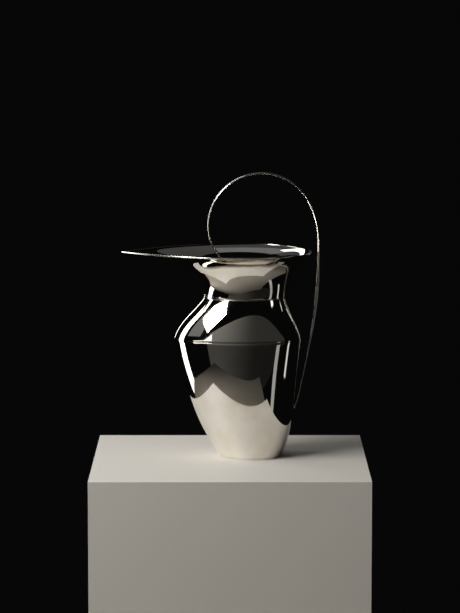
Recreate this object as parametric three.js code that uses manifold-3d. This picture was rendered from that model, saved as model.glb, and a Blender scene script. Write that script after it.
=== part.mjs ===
// A silver water pitcher: an egg-shaped body of raised sheet on a flat base, a rounded shoulder,
// a narrow neck that opens into a wide lip with a long pointed spout, and one slender bar handle
// that rises from the back of the body, loops over the mouth and dives back into the throat.
//
// Millimetres, +Z up. The origin is the centre of the underside of the base, the spout points
// towards -X and the handle stands towards +X.

import * as THREE from 'three';
import Module from 'manifold-3d';
import { mergeVertices } from 'three/addons/utils/BufferGeometryUtils.js';

const wasm = await Module();
wasm.setup();

// Sheet, solder and clearances.
const wall = 1.2; // silver sheet of the three raised shells
const seam = 0.3; // solder between two edges
const bead = 0.8; // how far a seam's solder stands into the vessel
const clearance = 0.3; // gap kept between the handle, its solder and the shells

// Base plate.
const baseThickness = 1.6;
const baseBevel = 0.5;

// The plan of the vessel at its four levels, measured from the axis: front is towards the spout,
// back towards the handle, side is half the depth. egg moves the widest place towards the back or
// the front, swell below 1 fills the corners of the plan and above 1 draws them in to a point,
// and nose adds to that at the front and takes it off at the back.
const foot = { front: 35.0, side: 34.4, back: 34.2, egg: 0, swell: 1, nose: 0 };
const crease = { front: 83.8, side: 49.8, back: 55.3, egg: 0.035, swell: 0.89, nose: 0.025 };
const throat = { front: 51.2, side: 38.0, back: 40.3, egg: 0.027, swell: 0.875, nose: 0 };
const lip = { front: 139.9, side: 76.6, back: 65.9, egg: 0.102, swell: 1.59, nose: 0.284 };

// Heights of the seams and of the lip's edge.
const creaseHeight = 129.5;
const throatHeight = 174.5;
const lipHeight = 223.2;
const spoutDrop = 0.8; // the spout's tip lies this much below the lip's sides
const backDrop = 1.2; // and the back of the lip this much

// How each shell's outline leaves its lower edge and reaches its upper edge: lean is in degrees
// outward from upright, and pull is how far it carries, as a share of the straight distance.
const bodyLeans = {
  front: { leave: [34.9, 0.289], reach: [5.7, 0.34] },
  side: { leave: [8, 0.37], reach: [-0.6, 0.385] },
  back: { leave: [23.6, 0.219], reach: [6.5, 0.587] },
};
const shoulderLeans = {
  front: { leave: [-17.6, 0.375], reach: [-37.4, 0.346] },
  side: { leave: [-9, 0.375], reach: [-24, 0.345] },
  back: { leave: [-9.9, 0.373], reach: [-15, 0.34] },
};
const neckLeans = {
  front: { leave: [-10.1, 0.36], reach: [85.6, 0.337] },
  side: { leave: [14, 0.08], reach: [83.8, 0.65] },
  back: { leave: [2.3, 0.474], reach: [45.2, 0.514] },
};

// Half-round wire along the lip.
const wireRadius = 0.85;

// Handle: leans are again degrees outward from upright, met while going up from the tip. They
// fall all the way, because the handle is one long curl.
const tipHeight = 52; // where the middle of the tip meets the body
const tipLean = 26;
const shankLean = 12;
const tipBend = 60;
const loopLift = 27.6; // centre of the loop above the lip's sides
const loopRadius = 57.5;
const gripBends = [
  { radius: 500, lean: 0 },
  { radius: 214, lean: -6.4 },
  { radius: 86.8, lean: -31.2 },
];
const loopBends = [
  { radius: loopRadius, lean: -180 },
  { radius: 48, lean: -212 },
];
const endLean = -268;
const endLift = 7; // where the middle of the inner end meets the neck, above the neck seam
const buried = 3; // how far the blank runs past each end before it is fitted

// The bar's section along its length: thick is across the bar in its own plane, wide is along Y.
const barStations = [
  { at: 0, thick: 1.8, wide: 6.4 },
  { at: 0.13, thick: 2.0, wide: 7 },
  { at: 0.19, thick: 3.6, wide: 10 },
  { at: 0.25, thick: 4.7, wide: 12 },
  { at: 0.32, thick: 4.6, wide: 11.6 },
  { at: 0.4, thick: 3.1, wide: 9 },
  { at: 0.5, thick: 2.6, wide: 8 },
  { at: 0.65, thick: 2.4, wide: 7.6 },
  { at: 0.8, thick: 2.3, wide: 7.4 },
  { at: 1, thick: 2.6, wide: 8 },
];

// Solder fillets at the handle's ends, as half sizes of the drop of solder.
const neckFillet = new THREE.Vector3(1.8, 5.6, 3.0);
const tipFillet = new THREE.Vector3(1.4, 4.6, 6.0);

// Smoothness of the facets.
const columns = 40;
const barSides = 12;

const silver = { color: '#cfcdc9', roughness: 0.06, metalness: 1 };
const solder = { color: '#bab6ae', roughness: 0.25, metalness: 1 };

// The levels where one piece ends and the next begins.
const bodyBottom = { ...foot, z: baseThickness + seam };
const bodyTop = { ...crease, z: creaseHeight - seam / 2 };
const shoulderBottom = { ...crease, z: creaseHeight + seam / 2 };
const shoulderTop = { ...throat, z: throatHeight - seam / 2 };
const neckBottom = { ...throat, z: throatHeight + seam / 2 };
const neckTop = { ...lip, z: lipHeight, frontDrop: spoutDrop, backDrop };

// A shell's outline on one side, from its lower to its upper edge, as distance and height.
function outline(low, high, leans) {
  const chord = high.distanceTo(low);
  const step = ([lean, pull]) => {
    const angle = THREE.MathUtils.degToRad(lean);
    return new THREE.Vector2(Math.sin(angle), Math.cos(angle)).multiplyScalar(pull * chord);
  };
  const leave = low.clone().add(step(leans.leave));
  const reach = high.clone().sub(step(leans.reach));
  return new THREE.CubicBezierCurve(low, leave, reach, high);
}

// The outer skin of one shell between two levels: its point at angle a round the vessel, from
// the spout towards -Y, and at share t of the way up.
function skin(low, high, leans) {
  const side = (name, drop = 0) =>
    outline(
      new THREE.Vector2(low[name], low.z),
      new THREE.Vector2(high[name], high.z - drop),
      leans[name],
    );
  const front = side('front', high.frontDrop);
  const flank = side('side');
  const back = side('back', high.backDrop);
  const between = (name, share) => THREE.MathUtils.lerp(low[name], high[name], share);
  return (a, t) => {
    const f = front.getPoint(t);
    const s = flank.getPoint(t);
    const b = back.getPoint(t);
    const cos = Math.cos(a);
    const sin = Math.sin(a);
    const half = (f.x + b.x) / 2;
    const x = (b.x - f.x) / 2 - half * cos + 2 * between('egg', t) * half * sin * sin;
    const power = between('swell', t * t) + between('nose', t * t) * cos;
    const y = -s.x * Math.sign(sin) * Math.abs(sin) ** power;
    const z = s.y + ((f.y + b.y) / 2 - s.y) * cos * cos + ((f.y - b.y) / 2) * cos;
    return new THREE.Vector3(x, y, z);
  };
}

// The skin's outward normal. A level edge has a level normal, so that two edges meet squarely.
function skinNormal(surface, a, t, level = false) {
  const d = 1e-3;
  const round = surface(a + d, t).sub(surface(a - d, t));
  const up = surface(a, Math.min(t + d, 1)).sub(surface(a, Math.max(t - d, 0)));
  const normal = round.cross(up);
  if (level) normal.z = 0;
  return normal.normalize();
}

// One ring of points round a skin, moved out of the skin by a distance.
function ring(surface, t, out, level = false) {
  return Array.from({ length: columns }, (_, j) => {
    const a = (2 * Math.PI * j) / columns;
    const point = surface(a, t);
    return out === 0 ? point : point.addScaledVector(skinNormal(surface, a, t, level), out);
  });
}

// A closed body through rings of equal count. It either closes on itself, like a tyre, or has a
// flat cap on its first and last ring. Each patch is split along one diagonal or, where crossed,
// along the other, so that two pieces can share a strip that isn't flat.
function loft(rings, tyre, crossed = false) {
  const count = rings[0].length;
  const points = rings.flat();
  const faces = [];
  const spans = tyre ? rings.length : rings.length - 1;
  for (let i = 0; i < spans; i++) {
    const low = i * count;
    const high = ((i + 1) % rings.length) * count;
    for (let j = 0; j < count; j++) {
      const next = (j + 1) % count;
      if (crossed) {
        faces.push(low + j, low + next, high + j);
        faces.push(low + next, high + next, high + j);
      } else {
        faces.push(low + j, low + next, high + next);
        faces.push(low + j, high + next, high + j);
      }
    }
  }
  if (!tyre) {
    const last = (rings.length - 1) * count;
    for (let j = 1; j < count - 1; j++) {
      faces.push(0, j + 1, j);
      faces.push(last, last + j, last + j + 1);
    }
  }
  const geometry = new THREE.BufferGeometry().setFromPoints(points);
  geometry.setIndex(faces);
  geometry.computeVertexNormals();
  return geometry;
}

// One raised shell: its outer skin going up and its inner skin coming down.
function shell(surface, rows, topIsLevel) {
  const outer = [];
  const inner = [];
  for (let i = 0; i <= rows; i++) {
    const level = i === 0 || (i === rows && topIsLevel);
    outer.push(ring(surface, i / rows, 0));
    inner.unshift(ring(surface, i / rows, -wall, level));
  }
  return loft([...outer, ...inner], true);
}

// The solder in a level seam: as wide as the sheet, with a bead inside.
function seamSolder(surface, t, bottom) {
  const at = (out, lift) => {
    const points = ring(surface, t, out, true);
    points.forEach((point) => (point.z = bottom + lift));
    return points;
  };
  const rings = [at(0, 0), at(0, seam), at(-wall, seam), at(-wall - bead, seam / 2), at(-wall, 0)];
  return loft(rings, true);
}

// The half-round wire: its flat face lies on the edge of the lip.
function rimWire(surface) {
  const arc = [-60, -20, 20, 60];
  const outer = ring(surface, 1, 0);
  const inner = ring(surface, 1, -wall);
  const bulge = arc.map((degrees) =>
    outer.map((point, j) => {
      const a = (2 * Math.PI * j) / columns;
      const normal = skinNormal(surface, a, 1);
      const along = surface(a + 1e-3, 1).sub(surface(a - 1e-3, 1));
      const away = normal.clone().cross(along.normalize());
      const turn = THREE.MathUtils.degToRad(degrees);
      return point
        .clone()
        .add(inner[j])
        .multiplyScalar(0.5)
        .addScaledVector(away, wireRadius * Math.cos(turn))
        .addScaledVector(normal, -wireRadius * Math.sin(turn));
    }),
  );
  return loft([outer, ...bulge, inner], true, true);
}

// Height on a falling or rising outline where something is true, found by halving.
function solve(low, high, isBelow) {
  for (let i = 0; i < 60; i++) {
    const middle = (low + high) / 2;
    if (isBelow(middle)) low = middle;
    else high = middle;
  }
  return low;
}

// Where the back of a skin is at one height.
function backAt(surface, z) {
  const t = solve(0, 1, (share) => surface(Math.PI, share).z < z);
  return surface(Math.PI, t).x;
}

// Walks from a point and lean round one bend, and returns the points after the first.
function bend(from, radius, lean, steps) {
  const points = [];
  for (let i = 1; i <= steps; i++) {
    const turned = THREE.MathUtils.lerp(from.lean, lean, i / steps);
    const start = THREE.MathUtils.degToRad(from.lean);
    const end = THREE.MathUtils.degToRad(turned);
    points.push({
      x: from.x + radius * (Math.cos(end) - Math.cos(start)),
      z: from.z - radius * (Math.sin(end) - Math.sin(start)),
      lean: turned,
    });
  }
  return points;
}

// One bend with a straight before or after it, whichever reaches a point at a given lean.
function bendTo(from, x, z, lean) {
  const first = THREE.MathUtils.degToRad(from.lean);
  const final = THREE.MathUtils.degToRad(lean);
  const bendX = Math.cos(final) - Math.cos(first);
  const bendZ = Math.sin(first) - Math.sin(final);
  const along = (angle) => {
    const scale = Math.sin(angle) * bendZ - Math.cos(angle) * bendX;
    return {
      straight: ((x - from.x) * bendZ - (z - from.z) * bendX) / scale,
      radius: (Math.sin(angle) * (z - from.z) - Math.cos(angle) * (x - from.x)) / scale,
    };
  };
  const before = along(first);
  if (before.straight >= 0) return { before: before.straight, radius: before.radius, after: 0 };
  const after = along(final);
  return { before: 0, radius: after.radius, after: after.straight };
}

// Walks straight on.
function ahead(from, distance) {
  const angle = THREE.MathUtils.degToRad(from.lean);
  return {
    x: from.x + distance * Math.sin(angle),
    z: from.z + distance * Math.cos(angle),
    lean: from.lean,
  };
}

// The handle's centreline, from inside the body wall to inside the neck wall.
function handleLine(body, neck) {
  const tip = { x: backAt(body, tipHeight), z: tipHeight, lean: tipLean };
  const line = [ahead(tip, -buried), tip, ahead(tip, 2)];
  const last = () => line[line.length - 1];
  line.push(...bend(last(), tipBend, shankLean, 2));

  // The straight shank takes up what is left below the loop's centre.
  const centreHeight = lipHeight + loopLift;
  let rise = 0;
  let lean = shankLean;
  for (const step of [...gripBends]) {
    rise += bend({ x: 0, z: 0, lean }, step.radius, step.lean, 1)[0].z;
    lean = step.lean;
  }
  rise += bend({ x: 0, z: 0, lean }, loopRadius, -180, 1)[0].z;
  const upright = Math.cos(THREE.MathUtils.degToRad(shankLean));
  const shank = (centreHeight - last().z - rise) / upright;
  line.push(ahead(last(), shank / 2), ahead(last(), shank));

  line.push(...bend(last(), gripBends[0].radius, gripBends[0].lean, 5));
  line.push(...bend(last(), gripBends[1].radius, gripBends[1].lean, 2));
  line.push(...bend(last(), gripBends[2].radius, gripBends[2].lean, 4));
  line.push(...bend(last(), loopBends[0].radius, loopBends[0].lean, 18));
  line.push(...bend(last(), loopBends[1].radius, loopBends[1].lean, 4));

  // The last bend reaches the inside of the neck's back at its own height.
  const endHeight = throatHeight + endLift;
  const dive = bendTo(last(), backAt(neck, endHeight) - wall, endHeight, endLean);
  if (dive.before > 1) line.push(ahead(last(), dive.before));
  line.push(...bend(last(), dive.radius, endLean, 7));
  if (dive.after > 1) line.push(ahead(last(), dive.after));
  line.push(ahead(last(), buried));
  return line;
}

// The bar's size at a share of its length, on a smooth curve through its stations.
function barSize(share, name) {
  const upper = Math.max(1, barStations.findIndex((station) => station.at >= share));
  const a = barStations[upper - 1];
  const b = barStations[upper];
  const t = THREE.MathUtils.smoothstep(share, a.at, b.at);
  return THREE.MathUtils.lerp(a[name], b[name], t);
}

// The bar as an oval section swept along the centreline, fattened by a margin.
function bar(line, margin) {
  const lengths = [0];
  for (let i = 1; i < line.length; i++) {
    const step = Math.hypot(line[i].x - line[i - 1].x, line[i].z - line[i - 1].z);
    lengths.push(lengths[i - 1] + step);
  }
  const whole = lengths[lengths.length - 1];
  const rings = line.map((place, i) => {
    const share = Math.min(lengths[i] / whole, 1);
    const thick = barSize(share, 'thick') / 2 + margin;
    const wide = barSize(share, 'wide') / 2 + margin;
    const lean = THREE.MathUtils.degToRad(place.lean);
    const across = new THREE.Vector3(Math.cos(lean), 0, -Math.sin(lean));
    return Array.from({ length: barSides }, (_, j) => {
      const turn = (2 * Math.PI * j) / barSides;
      return new THREE.Vector3(place.x, 0, place.z)
        .addScaledVector(across, thick * Math.cos(turn))
        .add(new THREE.Vector3(0, wide * Math.sin(turn), 0));
    });
  });
  return loft(rings, false);
}

// Solids for cutting.
function solid(geometry) {
  const bare = new THREE.BufferGeometry();
  bare.setAttribute('position', geometry.getAttribute('position'));
  bare.setIndex(geometry.getIndex());
  const merged = mergeVertices(bare, 1e-5);
  return new wasm.Manifold(
    new wasm.Mesh({
      numProp: 3,
      vertProperties: new Float32Array(merged.getAttribute('position').array),
      triVerts: new Uint32Array(merged.getIndex().array),
    }),
  );
}

function geometryOf(manifold) {
  const { vertProperties, triVerts } = manifold.getMesh();
  const geometry = new THREE.BufferGeometry();
  geometry.setAttribute('position', new THREE.BufferAttribute(vertProperties, 3));
  geometry.setIndex(new THREE.BufferAttribute(triVerts, 1));
  return geometry;
}

// All the room inside the body's outer skin, with a clearance round it.
function bodyRoom(surface, rows) {
  const rings = Array.from({ length: rows + 1 }, (_, i) => {
    const level = i === 0 || i === rows;
    return ring(surface, i / rows, clearance, level);
  });
  return solid(loft(rings, false));
}

// The neck's wall with a clearance inside it and room for the handle's end outside it.
function neckRoom(surface, rows) {
  const outer = [];
  const inner = [];
  for (let i = 0; i <= rows; i++) {
    outer.push(ring(surface, i / rows, 2 * buried, i === 0));
    inner.unshift(ring(surface, i / rows, -wall - clearance, i === 0));
  }
  return solid(loft([...outer, ...inner], true));
}

// A drop of solder, before it is cut to the pieces that it joins.
function drop(place, half) {
  const geometry = new THREE.SphereGeometry(1, 16, 10);
  geometry.scale(half.x, half.y, half.z);
  geometry.translate(place.x, 0, place.z);
  return solid(geometry);
}

const pitcher = new THREE.Group();
pitcher.name = 'pitcher';

function add(name, geometry, finish) {
  const mesh = new THREE.Mesh(geometry, new THREE.MeshStandardMaterial(finish));
  mesh.name = name;
  pitcher.add(mesh);
  return mesh;
}

// Base plate: a flat disc with a small bevel, as wide as the body's lower edge.
function basePlate() {
  const edge = foot.back - baseBevel / 2;
  const profile = [
    new THREE.Vector2(0, 0),
    new THREE.Vector2(edge - baseBevel, 0),
    new THREE.Vector2(edge, baseBevel),
    new THREE.Vector2(edge, baseThickness),
    new THREE.Vector2(0, baseThickness),
  ];
  return new THREE.LatheGeometry(profile, columns);
}

const bodySkin = skin(bodyBottom, bodyTop, bodyLeans);
const shoulderSkin = skin(shoulderBottom, shoulderTop, shoulderLeans);
const neckSkin = skin(neckBottom, neckTop, neckLeans);

const bodyRows = 12;
const shoulderRows = 6;
const neckRows = 13;

add('base_plate', basePlate(), silver).rotation.x = Math.PI / 2;
add('base_seam_solder', seamSolder(bodySkin, 0, baseThickness), solder);
add('lower_body', shell(bodySkin, bodyRows, true), silver);
add('shoulder_seam_solder', seamSolder(bodySkin, 1, bodyTop.z), solder);
add('shoulder', shell(shoulderSkin, shoulderRows, true), silver);
add('neck_seam_solder', seamSolder(neckSkin, 0, shoulderTop.z), solder);
add('neck_and_spout', shell(neckSkin, neckRows, false), silver);
add('rim_wire', rimWire(neckSkin), silver);

const line = handleLine(bodySkin, neckSkin);
const aroundBody = bodyRoom(bodySkin, bodyRows);
const aroundNeck = neckRoom(neckSkin, neckRows);
const handle = solid(bar(line, 0)).subtract(aroundBody).subtract(aroundNeck);
add('handle', geometryOf(handle), silver);

const fatBar = solid(bar(line, clearance));
const tip = line[1];
const end = line[line.length - 2];
const neckDrop = drop(end, neckFillet).subtract(aroundNeck).subtract(fatBar);
add('handle_neck_solder', geometryOf(neckDrop), solder);
const tipDrop = drop(tip, tipFillet).subtract(aroundBody).subtract(fatBar);
add('handle_lower_solder', geometryOf(tipDrop), solder);

export default pitcher;
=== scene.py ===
import math

import bpy
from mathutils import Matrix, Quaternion, Vector


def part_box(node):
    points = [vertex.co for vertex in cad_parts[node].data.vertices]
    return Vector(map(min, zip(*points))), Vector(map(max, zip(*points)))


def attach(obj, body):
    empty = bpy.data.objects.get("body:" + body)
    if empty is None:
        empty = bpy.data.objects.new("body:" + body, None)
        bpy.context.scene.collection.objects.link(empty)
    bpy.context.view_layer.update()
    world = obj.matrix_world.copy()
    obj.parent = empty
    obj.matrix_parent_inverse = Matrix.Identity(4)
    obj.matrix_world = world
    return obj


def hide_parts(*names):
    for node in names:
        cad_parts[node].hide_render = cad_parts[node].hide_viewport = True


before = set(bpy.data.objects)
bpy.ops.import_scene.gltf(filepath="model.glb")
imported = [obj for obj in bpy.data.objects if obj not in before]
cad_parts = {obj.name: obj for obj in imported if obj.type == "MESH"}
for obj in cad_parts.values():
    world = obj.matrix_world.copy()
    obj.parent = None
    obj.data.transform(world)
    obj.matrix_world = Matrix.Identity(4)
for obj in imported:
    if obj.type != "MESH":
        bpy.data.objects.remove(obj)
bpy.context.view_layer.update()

mm = 0.001


# ---- Camera ----
# A long lens on a stand 3.2 m in front of the pitcher, a little above the top of the handle and
# tipped down by seven degrees, so that the lip is seen as a thin ellipse.

camera_data = bpy.data.cameras.new("camera")
camera_data.lens = 174.1
camera_data.sensor_width = 36
camera = bpy.data.objects.new("camera", camera_data)
camera.location = (-22.9 * mm, -3193.8 * mm, 557.3 * mm)
camera.rotation_euler = (math.radians(90 - 7.03), 0, 0)
bpy.context.scene.collection.objects.link(camera)
bpy.context.scene.camera = camera


# ---- Studio ----
# A dark studio with a plain pale slab to stand the pitcher on and a plain floor well below it. The
# silver shows all of it, so the slab is only as wide as a display plinth.

def colour(code):
    """The linear colour of an sRGB hex code, with full alpha."""
    parts = [int(code[i:i + 2], 16) / 255 for i in (0, 2, 4)]
    linear = [c / 12.92 if c <= 0.04045 else ((c + 0.055) / 1.055) ** 2.4 for c in parts]
    return (*linear, 1)


def add_node(tree, kind, settings=None, links=None):
    """A node of a kind, with values or attributes by name and links from other nodes' sockets."""
    node = tree.nodes.new(kind)
    for name, value in (settings or {}).items():
        if isinstance(name, str) and hasattr(node, name):
            setattr(node, name, value)
        else:
            node.inputs[name].default_value = value
    for name, source in (links or {}).items():
        tree.links.new(source, node.inputs[name])
    return node


def plain_surface(name, code, roughness):
    """A matt painted studio surface."""
    surface = bpy.data.materials.new(name)
    surface.use_nodes = True
    shader = surface.node_tree.nodes["Principled BSDF"]
    shader.inputs["Base Color"].default_value = colour(code)
    shader.inputs["Roughness"].default_value = roughness
    return surface


def studio_block(name, size, place, surface):
    """A block that stands in the studio: a slab or a floor."""
    bpy.ops.object.select_all(action="DESELECT")
    bpy.ops.mesh.primitive_cube_add(size=1, location=place, scale=size)
    block = bpy.context.object
    block.name = name
    block.data.materials.append(surface)
    bpy.ops.object.transform_apply(location=True, rotation=False, scale=True)


slab_side = 295 * mm
slab_height = 750 * mm
studio_block("slab", (slab_side, slab_side, slab_height), (-23 * mm, -16.5 * mm, -slab_height / 2),
             plain_surface("pale_slab", "E6E0D6", 0.6))
floor_low = Vector((-1780 * mm, -2400 * mm))
floor_high = Vector((1150 * mm, 500 * mm))
floor_size = floor_high - floor_low
floor_middle = (floor_low + floor_high) / 2
floor_thickness = 20 * mm
floor_depth = -slab_height - floor_thickness / 2
studio_block("floor", (*floor_size, floor_thickness), (*floor_middle, floor_depth),
             plain_surface("pale_floor", "B9B1A6", 0.7))

studio = bpy.data.worlds.new("studio")
studio.use_nodes = True
studio.node_tree.nodes["Background"].inputs["Color"].default_value = colour("070707")
studio.node_tree.nodes["Background"].inputs["Strength"].default_value = 1.0
bpy.context.scene.world = studio
bpy.context.scene.view_settings.view_transform = "Standard"


# ---- Lights ----
# A tall softbox stands close by on the left, and a second one hangs above and to the left of the
# camera. Narrow strips on both sides draw thin lights along the vessel's edges, and dim panels
# light what the silver would otherwise show as black.

aim = Vector((0, 0, 0.12))


def towards(azimuth, elevation, distance):
    """A place seen from the pitcher: degrees to the right of the camera, degrees up, metres."""
    turn = math.radians(azimuth)
    lift = math.radians(elevation)
    flat = distance * math.cos(lift)
    return aim + Vector((flat * math.sin(turn), -flat * math.cos(turn), distance * math.sin(lift)))


def softbox(name, azimuth, elevation, distance, width, height, radiance, roll=0):
    """A rectangular light facing the pitcher, as bright to look at as its radiance says."""
    lamp = bpy.data.lights.new(name, "AREA")
    lamp.shape = "RECTANGLE"
    lamp.size = width
    lamp.size_y = height
    lamp.energy = radiance * math.pi * width * height
    box = bpy.data.objects.new(name, lamp)
    place = towards(azimuth, elevation, distance)
    box.location = place
    box.rotation_mode = "QUATERNION"
    facing = (aim - place).to_track_quat("-Z", "Y")
    box.rotation_quaternion = facing @ Quaternion((0, 0, 1), math.radians(roll))
    bpy.context.scene.collection.objects.link(box)


softbox("softbox_left", -104, 5, 1.3, 0.44, 1.7, 3, 8)
softbox("softbox_high_left", -58, 38, 1.5, 0.95, 0.5, 13, -32)
softbox("strip_back_left", -153, 26, 1.5, 0.13, 1.6, 3)
softbox("panel_high_left", -72, 30, 2.2, 1.1, 0.9, 0.17)
softbox("panel_behind", 180, 52, 1.6, 1.7, 1.2, 0.05)
softbox("panel_high_behind", -166, 62, 1.7, 0.8, 0.7, 0.1)
softbox("strip_low_left", -52, 8, 2.0, 1.1, 0.3, 1.3, 25)
softbox("strip_right", 54, -20, 1.6, 0.19, 0.7, 0.35)
softbox("strip_right_high", 60, 31, 1.6, 0.17, 0.26, 1.3)
softbox("strip_far_right", 82, -12, 1.6, 0.14, 0.34, 0.7)
softbox("strip_far_right_high", 94, 24, 1.6, 0.16, 0.2, 1.3)

# A grey wall behind the camera that glows though it is no lamp. Its painted light fades out to the right
# and towards the bottom, as if the wall were lit from the left.
bpy.ops.object.select_all(action="DESELECT")
bpy.ops.mesh.primitive_plane_add(size=1, location=(3.2, -3.9, 0.15), rotation=(math.radians(-90), 0, 0))
wall_panel = bpy.context.object
wall_panel.name = "glowing_wall_painted_light"
wall_panel.scale = (13.6, 3.6, 1)
bpy.ops.object.transform_apply(location=True, rotation=True, scale=True)
wall_glow = bpy.data.materials.new("glowing_wall_painted_light")
wall_glow.use_nodes = True
tree = wall_glow.node_tree
spot = add_node(tree, "ShaderNodeTexCoord").outputs["Object"]
axes = add_node(tree, "ShaderNodeSeparateXYZ", {}, {"Vector": spot})
across = {"interpolation_type": "SMOOTHSTEP",
          "From Min": -3, "From Max": 1.4, "To Min": 0.22, "To Max": 0.035}
upward = {"interpolation_type": "SMOOTHSTEP",
          "From Min": -0.5, "From Max": 1.2, "To Min": 0.3, "To Max": 1}
# Painted light: the glow's strength falls from left to right and is weaker towards the bottom.
fade = add_node(tree, "ShaderNodeMapRange", across, {"Value": axes.outputs["X"]})
lift = add_node(tree, "ShaderNodeMapRange", upward, {"Value": axes.outputs["Z"]})
glow = add_node(tree, "ShaderNodeMath", {"operation": "MULTIPLY"},
                {0: fade.outputs["Result"], 1: lift.outputs["Result"]})
shader = tree.nodes["Principled BSDF"]
shader.inputs["Base Color"].default_value = colour("202020")
# The emission colour is the painted light that the wall glows with.
shader.inputs["Emission Color"].default_value = colour("E8E4DC")
tree.links.new(glow.outputs["Value"], shader.inputs["Emission Strength"])
wall_panel.data.materials.append(wall_glow)


# ---- Lower body ----
# One sheet of sterling silver, raised over a stake into an egg that grows towards the shoulder
# line, then planished smooth and polished on a wheel to a mirror.

wall = 1.2 * mm  # thickness of the sheet
edge = 0.12 * mm  # how much its sharp edges are eased


def level(node, top):
    """The vessel's plan and height at a seam, from the ring of solder that lies there."""
    low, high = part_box(node)
    return {"front": -low.x, "side": high.y, "back": high.x, "z": high.z if top else low.z}


foot_shape = {"egg": 0, "swell": 1, "nose": 0}
crease_shape = {"egg": 0.035, "swell": 0.89, "nose": 0.025}
body_bottom = level("base_seam_solder", True) | foot_shape
body_top = level("shoulder_seam_solder", False) | crease_shape
body_leans = {
    "front": ((34.9, 0.289), (5.7, 0.34)),
    "side": ((8, 0.37), (-0.6, 0.385)),
    "back": ((23.6, 0.219), (6.5, 0.587)),
}


def outline(low, high, leans):
    """A smooth curve between two points in a side view, that leaves and arrives at a lean."""
    low = Vector(low)
    high = Vector(high)
    chord = (high - low).length

    def step(lean, pull):
        angle = math.radians(lean)
        return Vector((math.sin(angle), math.cos(angle))) * pull * chord

    leave = low + step(*leans[0])
    reach = high - step(*leans[1])

    def point(t):
        s = 1 - t
        return low * s ** 3 + leave * 3 * s * s * t + reach * 3 * s * t * t + high * t ** 3

    return point


def skin(low, high, leans):
    """The outer skin of a shell: its point at an angle from the spout, and a share of the way up."""
    front = outline((low["front"], low["z"]), (high["front"], high["z"] - high.get("front_drop", 0)),
                    leans["front"])
    side = outline((low["side"], low["z"]), (high["side"], high["z"]), leans["side"])
    back = outline((low["back"], low["z"]), (high["back"], high["z"] - high.get("back_drop", 0)),
                   leans["back"])

    def point(angle, t):
        f = front(t)
        s = side(t)
        b = back(t)
        cos = math.cos(angle)
        sin = math.sin(angle)
        half = (f.x + b.x) / 2
        egg = low["egg"] + (high["egg"] - low["egg"]) * t
        power = low["swell"] + (high["swell"] - low["swell"]) * t * t
        power += (low["nose"] + (high["nose"] - low["nose"]) * t * t) * cos
        x = (b.x - f.x) / 2 - half * cos + 2 * egg * half * sin * sin
        y = -s.x * math.copysign(abs(sin) ** power, sin)
        z = s.y + ((f.y + b.y) / 2 - s.y) * cos * cos + (f.y - b.y) / 2 * cos
        return Vector((x, y, z))

    return point


def skin_normal(surface, angle, t, is_level):
    """The skin's outward normal, made level where an edge has to meet another squarely."""
    d = 1e-3
    along = surface(angle + d, t) - surface(angle - d, t)
    up = surface(angle, min(t + d, 1)) - surface(angle, max(t - d, 0))
    normal = along.cross(up)
    if is_level:
        normal.z = 0
    return normal.normalized()


columns = 256


def ring(surface, t, out, is_level=False):
    """One ring of points round a skin, moved out of the skin by a distance."""
    points = []
    for j in range(columns):
        angle = math.tau * j / columns
        normal = skin_normal(surface, angle, t, is_level)
        points.append(surface(angle, t) + normal * out)
    return points


def share_of(surface, length):
    """The share of a skin's height that a short length takes, up from its lower edge."""
    d = 1e-3
    return length * d / (surface(math.pi / 2, d) - surface(math.pi / 2, 0)).length


def drawn_up(name, rings, tyre):
    """A circle of points, extruded once for each ring and then set to the rings' places."""
    count = len(rings[0])
    bpy.ops.object.select_all(action="DESELECT")
    bpy.ops.mesh.primitive_circle_add(vertices=count, radius=1, fill_type="NOTHING")
    piece = bpy.context.object
    piece.name = name
    bpy.ops.object.mode_set(mode="EDIT")
    for _ in rings[1:]:
        bpy.ops.mesh.extrude_region_move(TRANSFORM_OT_translate={"value": (0, 0, 1)})
    bpy.ops.mesh.select_all(action="DESELECT")
    bpy.ops.mesh.select_mode(type="EDGE")
    bpy.ops.mesh.select_non_manifold()
    if tyre:
        bpy.ops.mesh.bridge_edge_loops()
    else:
        bpy.ops.mesh.fill_holes(sides=0)
    bpy.ops.object.mode_set(mode="OBJECT")
    for vertex in piece.data.vertices:
        turn = math.atan2(vertex.co.y, vertex.co.x)
        column = round(turn / math.tau * count) % count
        vertex.co = rings[round(vertex.co.z)][column]
    piece.data.update()
    facing_out(piece)
    return piece


def facing_out(piece):
    """Turns a closed piece's faces outwards if they face in, and shades it smooth."""
    volume = 0
    for face in piece.data.polygons:
        corners = [piece.data.vertices[i].co for i in face.vertices]
        for i in range(1, len(corners) - 1):
            volume += corners[0].dot(corners[i].cross(corners[i + 1]))
    if volume < 0:
        piece.data.flip_normals()
    bpy.ops.object.select_all(action="DESELECT")
    piece.select_set(True)
    bpy.context.view_layer.objects.active = piece
    bpy.ops.object.shade_smooth_by_angle(angle=math.radians(35))


def raised_shell(name, surface, rows, top_is_level):
    """A shell of sheet: its outer skin going up and its inner skin coming down, edges eased."""
    ease = share_of(surface, edge)
    rings = [ring(surface, 0, -edge, True), ring(surface, 0.3 * ease, -0.3 * edge)]
    rings.append(ring(surface, ease, 0))
    rings += [ring(surface, i / rows, 0) for i in range(1, rows)]
    if top_is_level:
        ease = edge / wall * 0.01  # about 0.1 mm of each shell's height
        rings.append(ring(surface, 1 - ease, 0))
        rings.append(ring(surface, 1 - 0.3 * ease, -0.3 * edge))
        rings.append(ring(surface, 1, -edge, True))
    else:
        rings.append(ring(surface, 1, 0))
    rings.append(ring(surface, 1, -wall, top_is_level))
    rings += [ring(surface, i / rows, -wall) for i in range(rows - 1, 0, -1)]
    rings.append(ring(surface, 0, -wall, True))
    return drawn_up(name, rings, True)


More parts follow.
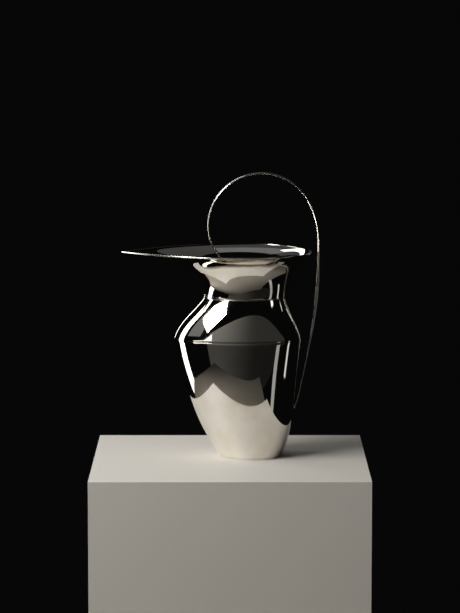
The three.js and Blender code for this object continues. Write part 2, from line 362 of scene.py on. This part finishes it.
def finish(name, hexes, roughness, wave, grain, scratch):
    """Silver: two colours that drift into each other, a range of roughness, and three bumps,
    each given as its width across and its depth in millimetres."""
    metal = bpy.data.materials.new(name)
    metal.use_nodes = True
    tree = metal.node_tree
    shader = tree.nodes["Principled BSDF"]
    shader.inputs["Metallic"].default_value = 1
    place = add_node(tree, "ShaderNodeTexCoord").outputs["Object"]

    # Breath and old polish lie in soft clouds a few centimetres wide.
    clouds = add_node(tree, "ShaderNodeTexNoise", {"Scale": 30, "Detail": 5, "Roughness": 0.6},
                      {"Vector": place})
    film = add_node(tree, "ShaderNodeMapRange", {"From Min": 0.42, "From Max": 0.72},
                    {"Value": clouds.outputs["Fac"]})
    tint = add_node(tree, "ShaderNodeMix", {"data_type": "RGBA"},
                    {"Factor": film.outputs["Result"]})
    tint.inputs["A"].default_value = colour(hexes[0])
    tint.inputs["B"].default_value = colour(hexes[1])
    tree.links.new(tint.outputs["Result"], shader.inputs["Base Color"])
    rough = add_node(tree, "ShaderNodeMapRange",
                     {"From Min": 0.4, "From Max": 0.75, "To Min": roughness[0], "To Max": roughness[1]},
                     {"Value": clouds.outputs["Fac"]})
    tree.links.new(rough.outputs["Result"], shader.inputs["Roughness"])

    # Slow waves left by the hammer, the soft facets of the planishing, and polishing lines.
    waves = add_node(tree, "ShaderNodeTexNoise", {"Scale": 1 / (wave[0] * mm), "Detail": 0},
                     {"Vector": place})
    facets = add_node(tree, "ShaderNodeTexNoise", {"Scale": 1 / (grain[0] * mm), "Detail": 1},
                      {"Vector": place})
    stretch = add_node(tree, "ShaderNodeMapping", {"Scale": (1, 1, 12)}, {"Vector": place})
    lines = add_node(tree, "ShaderNodeTexNoise", {"Scale": 1 / (scratch[0] * 12 * mm), "Detail": 3},
                     {"Vector": stretch.outputs["Vector"]})
    bump = None
    for source, depth in ((waves, wave[1]), (facets, grain[1]), (lines, scratch[1])):
        links = {"Height": source.outputs["Fac"]}
        if bump:
            links["Normal"] = bump.outputs["Normal"]
        bump = add_node(tree, "ShaderNodeBump", {"Strength": 1, "Distance": depth * mm}, links)
    tree.links.new(bump.outputs["Normal"], shader.inputs["Normal"])
    return metal


# Mirror-polished sterling silver is almost white, and it is as smooth as silver gets. The waves
# are too shallow to feel and only bend what it mirrors. The polishing lines are drawn 0.5 mm
# apart, far coarser than real ones, so that they show at all.
raised = finish("mirror_polished_sterling", ("F4F1EB", "E6DFD2"), (0.02, 0.07),
                (24, 0.02), (5, 0.0012), (0.5, 0.0001))
body_skin = skin(body_bottom, body_top, body_leans)
body = raised_shell("body_shell", body_skin, 48, True)
body.data.materials.append(raised)
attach(body, "root")
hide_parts("lower_body")


# ---- Base plate ----
# A flat disc cut from thicker sheet, its lower edge filed to a small bevel. The body stands on
# it, and years of tables have left fine scratches underneath.

base_low, base_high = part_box("base_plate")
base_thickness = base_high.z - base_low.z
bpy.ops.object.select_all(action="DESELECT")
bpy.ops.mesh.primitive_cylinder_add(vertices=columns, radius=base_high.x, depth=base_thickness,
                                    location=(0, 0, base_thickness / 2), end_fill_type="TRIFAN")
base = bpy.context.object
base.name = "base_disc"
bpy.ops.object.transform_apply(location=True, rotation=False, scale=False)
bpy.ops.object.mode_set(mode="EDIT")
bpy.ops.mesh.select_all(action="DESELECT")
bpy.ops.object.mode_set(mode="OBJECT")
for line in base.data.edges:
    ends = [base.data.vertices[i].co for i in line.vertices]
    line.select = all(end.z < mm / 10 and end.xy.length > base_high.x / 2 for end in ends)
bpy.ops.object.mode_set(mode="EDIT")
bpy.ops.mesh.select_mode(type="EDGE")
bpy.ops.mesh.bevel(offset=0.5 * mm, segments=5, profile=0.5)
bpy.ops.object.mode_set(mode="OBJECT")
facing_out(base)
# Sterling dulled by sliding on tables: a little darker, and satin rather than mirror-bright.
base_silver = finish("worn_base_sterling", ("EFECE5", "D8CDBB"), (0.06, 0.2),
                     (30, 0.01), (3, 0.001), (0.4, 0.002))
base.data.materials.append(base_silver)
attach(base, "root")
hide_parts("base_plate")


# ---- Base seam ----
# Hard silver solder run between the body's lower edge and the plate. It is scraped flush outside,
# where a hairline shows, and left as a round bead inside.

# Hard solder holds more copper and zinc than the sheet, so it is duller and a little yellower.
solder = finish("silver_solder", ("D9D3C6", "B9AF9C"), (0.12, 0.3),
                (6, 0.01), (0.8, 0.002), (0.3, 0.0005))

bead = 0.8 * mm


def seam_ring(name, surface, t, node, outside):
    """A ring of solder between two edges: its outside face, the web, and the bead inside."""
    low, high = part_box(node)

    def at(out, z):
        points = ring(surface, t, out, True)
        for point in points:
            point.z = z
        return points

    middle = (low.z + high.z) / 2
    half = (high.z - low.z) / 2
    rings = outside(at, low.z, high.z)
    for turn in range(90, -91, -30):
        sin = math.sin(math.radians(turn))
        cos = math.cos(math.radians(turn))
        rings.append(at(-wall - bead * cos, middle + half * (1 + 1.6 * cos) * sin))
    piece = drawn_up(name, rings, True)
    piece.data.materials.append(solder)
    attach(piece, "root")
    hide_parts(node)


def hairline(at, low, high):
    """A seam scraped flush: a groove too shallow to feel."""
    return [at(-0.6 * edge, low), at(-0.35 * edge, low), at(-0.35 * edge, high), at(-0.6 * edge, high)]


seam_ring("base_seam", body_skin, 0, "base_seam_solder", hairline)


# ---- Shoulder ----
# A second raised sheet that turns in from the shoulder line to the throat. The two edges meet in
# a crisp ridge round the vessel, soldered from inside.

seam_ring("shoulder_seam", body_skin, 1, "shoulder_seam_solder", hairline)
shoulder_bottom = level("shoulder_seam_solder", True) | crease_shape
throat_shape = {"egg": 0.027, "swell": 0.875, "nose": 0}
shoulder_top = level("neck_seam_solder", False) | throat_shape
shoulder_leans = {
    "front": ((-17.6, 0.375), (-37.4, 0.346)),
    "side": ((-9, 0.375), (-24, 0.345)),
    "back": ((-9.9, 0.373), (-15, 0.34)),
}
shoulder_skin = skin(shoulder_bottom, shoulder_top, shoulder_leans)
shoulder = raised_shell("shoulder_shell", shoulder_skin, 24, True)
shoulder.data.materials.append(raised)
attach(shoulder, "root")
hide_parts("shoulder")


# ---- Neck and spout ----
# The third raised sheet: a round throat that is hammered out into a wide lip, level at the sides
# and back and drawn forward into a long pointed spout.

lip_shape = {"egg": 0.102, "swell": 1.59, "nose": 0.284}
neck_leans = {
    "front": ((-10.1, 0.36), (85.6, 0.337)),
    "side": ((14, 0.08), (83.8, 0.65)),
    "back": ((2.3, 0.474), (45.2, 0.514)),
}
neck_bottom = level("neck_seam_solder", True) | throat_shape
neck_top = level("neck_and_spout", True) | lip_shape
neck_top["z"] = 223.2 * mm
neck_top["front_drop"] = 0.8 * mm
neck_top["back_drop"] = 1.2 * mm
neck_skin = skin(neck_bottom, neck_top, neck_leans)
neck = raised_shell("neck_shell", neck_skin, 56, False)
neck.data.materials.append(raised)
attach(neck, "root")
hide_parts("neck_and_spout")


# ---- Neck seam ----
# The neck is soldered into the shoulder's opening, and the corner between them is filled with a
# small hollow fillet of solder that is burnished smooth.

fillet = 0.7 * mm
shoulder_slope = 60 * mm  # about the length of the shoulder's slope at the front


def hollow(at, low, high):
    """The fillet's face, from the shoulder's skin round the corner to the neck's."""
    shoulder_foot = 1 - fillet / shoulder_slope
    neck_foot = share_of(neck_skin, fillet)
    foot = ring(shoulder_skin, shoulder_foot, 0.01 * mm)
    corner = at(0.05 * mm, (low + high) / 2)
    top = ring(neck_skin, neck_foot, 0.01 * mm)
    rings = [at(-0.6 * edge, low), ring(shoulder_skin, shoulder_foot, -0.05 * mm)]
    for i in range(7):
        t = i / 6
        s = 1 - t
        rings.append([a * s * s + b * 2 * s * t + c * t * t for a, b, c in zip(foot, corner, top)])
    return rings + [ring(neck_skin, neck_foot, -0.05 * mm), at(-0.6 * edge, high)]


seam_ring("neck_seam", neck_skin, 0, "neck_seam_solder", hollow)


# ---- Rim wire ----
# Half-round silver wire soldered along the edge of the lip, flat side down. It stiffens the lip
# and gives it a bright round edge.

wire_radius = 0.85 * mm
wire_outer = ring(neck_skin, 1, 0)
wire_inner = ring(neck_skin, 1, -wall)
wire_rings = [wire_outer]
for turn in range(-75, 76, 15):
    sin = math.sin(math.radians(turn))
    cos = math.cos(math.radians(turn))
    bulge = []
    for j in range(columns):
        angle = math.tau * j / columns
        normal = skin_normal(neck_skin, angle, 1, False)
        along = neck_skin(angle + 1e-3, 1) - neck_skin(angle - 1e-3, 1)
        away = normal.cross(along).normalized()
        middle = (wire_outer[j] + wire_inner[j]) / 2
        bulge.append(middle + away * wire_radius * cos - normal * wire_radius * sin)
    wire_rings.append(bulge)
wire_rings.append(wire_inner)
wire = drawn_up("rim_half_round", wire_rings, True)
# Drawn sterling wire, polished by hand after soldering: bright, with a slightly soft highlight.
drawn = finish("drawn_silver_wire", ("F4F1EB", "E4DDCF"), (0.1, 0.16),
               (14, 0.002), (3, 0.0005), (0.4, 0.0002))
wire.data.materials.append(drawn)
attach(wire, "root")
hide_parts("rim_wire")


# ---- Handle ----
# One bar of silver forged thin at both ends and thicker at the grip, bent in a single curl: up
# from the body's back, over the mouth and down onto the inside of the throat.

bar_sides = 40
tip_height = 52 * mm
buried = 3 * mm
shank_lean = math.radians(12)
end_lean = math.radians(-268)

# Share of the bar's length, its thickness and its width in millimetres.
bar_stations = [
    (0, 1.8, 6.4), (0.13, 2.0, 7), (0.19, 3.6, 10), (0.25, 4.7, 12), (0.32, 4.6, 11.6),
    (0.4, 3.1, 9), (0.5, 2.6, 8), (0.65, 2.4, 7.6), (0.8, 2.3, 7.4), (1, 2.6, 8),
]


def back_at(surface, z):
    """Where the back of a skin is at one height."""
    low = 0
    high = 1
    for _ in range(50):
        middle = (low + high) / 2
        if surface(math.pi, middle).z < z:
            low = middle
        else:
            high = middle
    return surface(math.pi, low).x


def ahead(place, distance):
    """Straight on from a place in the side view: x, height and lean outward from upright."""
    x, z, lean = place
    return x + distance * math.sin(lean), z + distance * math.cos(lean), lean


def bend(place, radius, lean, steps):
    """Round one bend of the bar's middle line, until it leans by an angle."""
    x, z, first = place
    places = []
    for i in range(1, steps + 1):
        turned = first + (lean - first) * i / steps
        places.append((x + radius * (math.cos(turned) - math.cos(first)),
                       z - radius * (math.sin(turned) - math.sin(first)), turned))
    return places


def bend_to(place, x, z, lean):
    """The straight and the bend after it that reach a point at a lean."""
    first = place[2]
    bend_x = math.cos(lean) - math.cos(first)
    bend_z = math.sin(first) - math.sin(lean)
    scale = math.sin(first) * bend_z - math.cos(first) * bend_x
    straight = ((x - place[0]) * bend_z - (z - place[1]) * bend_x) / scale
    radius = (math.sin(first) * (z - place[1]) - math.cos(first) * (x - place[0])) / scale
    return straight, radius


tip = (back_at(body_skin, tip_height), tip_height, math.radians(26))
middle_line = [ahead(tip, -buried), ahead(tip, -buried / 2), tip, ahead(tip, 2 * mm)]
middle_line += bend(middle_line[-1], 60 * mm, shank_lean, 10)
# Radius, the lean reached in degrees, and how many steps each bend is drawn in.
bends = [(500, 0, 16), (214, -6.4, 10), (86.8, -31.2, 14), (57.5, -180, 70)]
loop_centre = neck_top["z"] + 27.6 * mm
climb = 0
lean = shank_lean
for radius, reached, _ in bends:
    climb += bend((0, 0, lean), radius * mm, math.radians(reached), 1)[0][1]
    lean = math.radians(reached)
shank = (loop_centre - middle_line[-1][1] - climb) / math.cos(shank_lean)
shank_start = middle_line[-1]
middle_line += [ahead(shank_start, shank * i / 10) for i in range(1, 11)]
for radius, reached, steps in bends + [(48, -212, 16)]:
    middle_line += bend(middle_line[-1], radius * mm, math.radians(reached), steps)
end_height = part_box("neck_seam_solder")[0].z + 7.15 * mm
end_x = back_at(neck_skin, end_height) - wall
straight, radius = bend_to(middle_line[-1], end_x, end_height, end_lean)
middle_line.append(ahead(middle_line[-1], straight))
middle_line += bend(middle_line[-1], radius, end_lean, 26)
end = middle_line[-1]
middle_line.append(ahead(end, buried))

lengths = [0]
for a, b in zip(middle_line, middle_line[1:]):
    lengths.append(lengths[-1] + math.hypot(b[0] - a[0], b[1] - a[1]))


def bar_ring(place, share):
    """The bar's oval section at one place, sized for its share of the whole length."""
    last = len(bar_stations) - 1
    upper = next((i for i, station in enumerate(bar_stations) if station[0] >= share), last)
    upper = max(upper, 1)
    a = bar_stations[upper - 1]
    b = bar_stations[upper]
    t = min(max((share - a[0]) / (b[0] - a[0]), 0), 1)
    t = t * t * (3 - 2 * t)
    thick = (a[1] + (b[1] - a[1]) * t) * mm / 2
    wide = (a[2] + (b[2] - a[2]) * t) * mm / 2
    x, z, lean = place
    across = Vector((math.cos(lean), 0, -math.sin(lean)))
    points = []
    for j in range(bar_sides):
        turn = math.tau * j / bar_sides
        sideways = Vector((0, wide * math.sin(turn), 0))
        points.append(Vector((x, 0, z)) + across * thick * math.cos(turn) + sideways)
    return points


bar_rings = [bar_ring(place, length / lengths[-1]) for place, length in zip(middle_line, lengths)]
bar_rings[-1] = bar_ring(ahead(end, 0.5 * mm), 1)
handle = drawn_up("handle_bar", bar_rings[1:], False)
# Forged sterling, filed and buffed along its length: bright but softer than the planished sheet.
forged = finish("forged_silver_bar", ("F4F1EB", "E2DBCD"), (0.14, 0.22),
                (18, 0.003), (4, 0.0006), (0.4, 0.0002))
handle.data.materials.append(forged)
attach(handle, "root")
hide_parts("handle")


# ---- Solder at the handle's ends ----
# A hollow fillet of hard solder round each end of the bar, run in with a torch and rubbed smooth.


def end_fillet(name, node, rings, shell, climb, spread):
    """A fillet round a bar's end: how far it climbs the bar, and how far it spreads on the sheet."""
    face = []
    for j in range(bar_sides):
        heights = []
        for points in rings:
            _, near, normal, _ = shell.closest_point_on_mesh(points[j])
            heights.append(((points[j] - near).dot(normal), points[j], near, normal))
        start = next(i for i, h in enumerate(heights) if h[0] > 0)
        above = (i for i, h in enumerate(heights) if h[0] > climb and i > start)
        _, high, _, normal = heights[next(above, len(heights) - 1)]
        corner = heights[start][2]
        out = rings[start][j] - sum(rings[start], Vector()) / bar_sides
        out -= normal * out.dot(normal)
        _, foot, foot_normal, _ = shell.closest_point_on_mesh(corner + out.normalized() * spread)
        face.append((high, corner, foot, foot_normal, normal))
    loops = []
    for i in range(7):
        t = i / 6
        s = 1 - t
        loops.append([a * s * s + (b + n * 0.1 * mm) * 2 * s * t + c * t * t for a, b, c, _, n in face])
    loops.append([c - n * 0.1 * mm for _, _, c, n, _ in face])
    loops.append([b - n * 0.15 * mm for _, b, _, _, n in face])
    piece = drawn_up(name, loops, True)
    piece.data.materials.append(solder)
    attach(piece, "root")
    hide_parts(node)


foot_rings = bar_rings[1:24]
throat_rings = bar_rings[:-16:-1]
end_fillet("handle_foot_fillet", "handle_lower_solder", foot_rings, body, 0.9 * mm, 1.2 * mm)
end_fillet("handle_throat_fillet", "handle_neck_solder", throat_rings, neck, 1.2 * mm, 1.6 * mm)
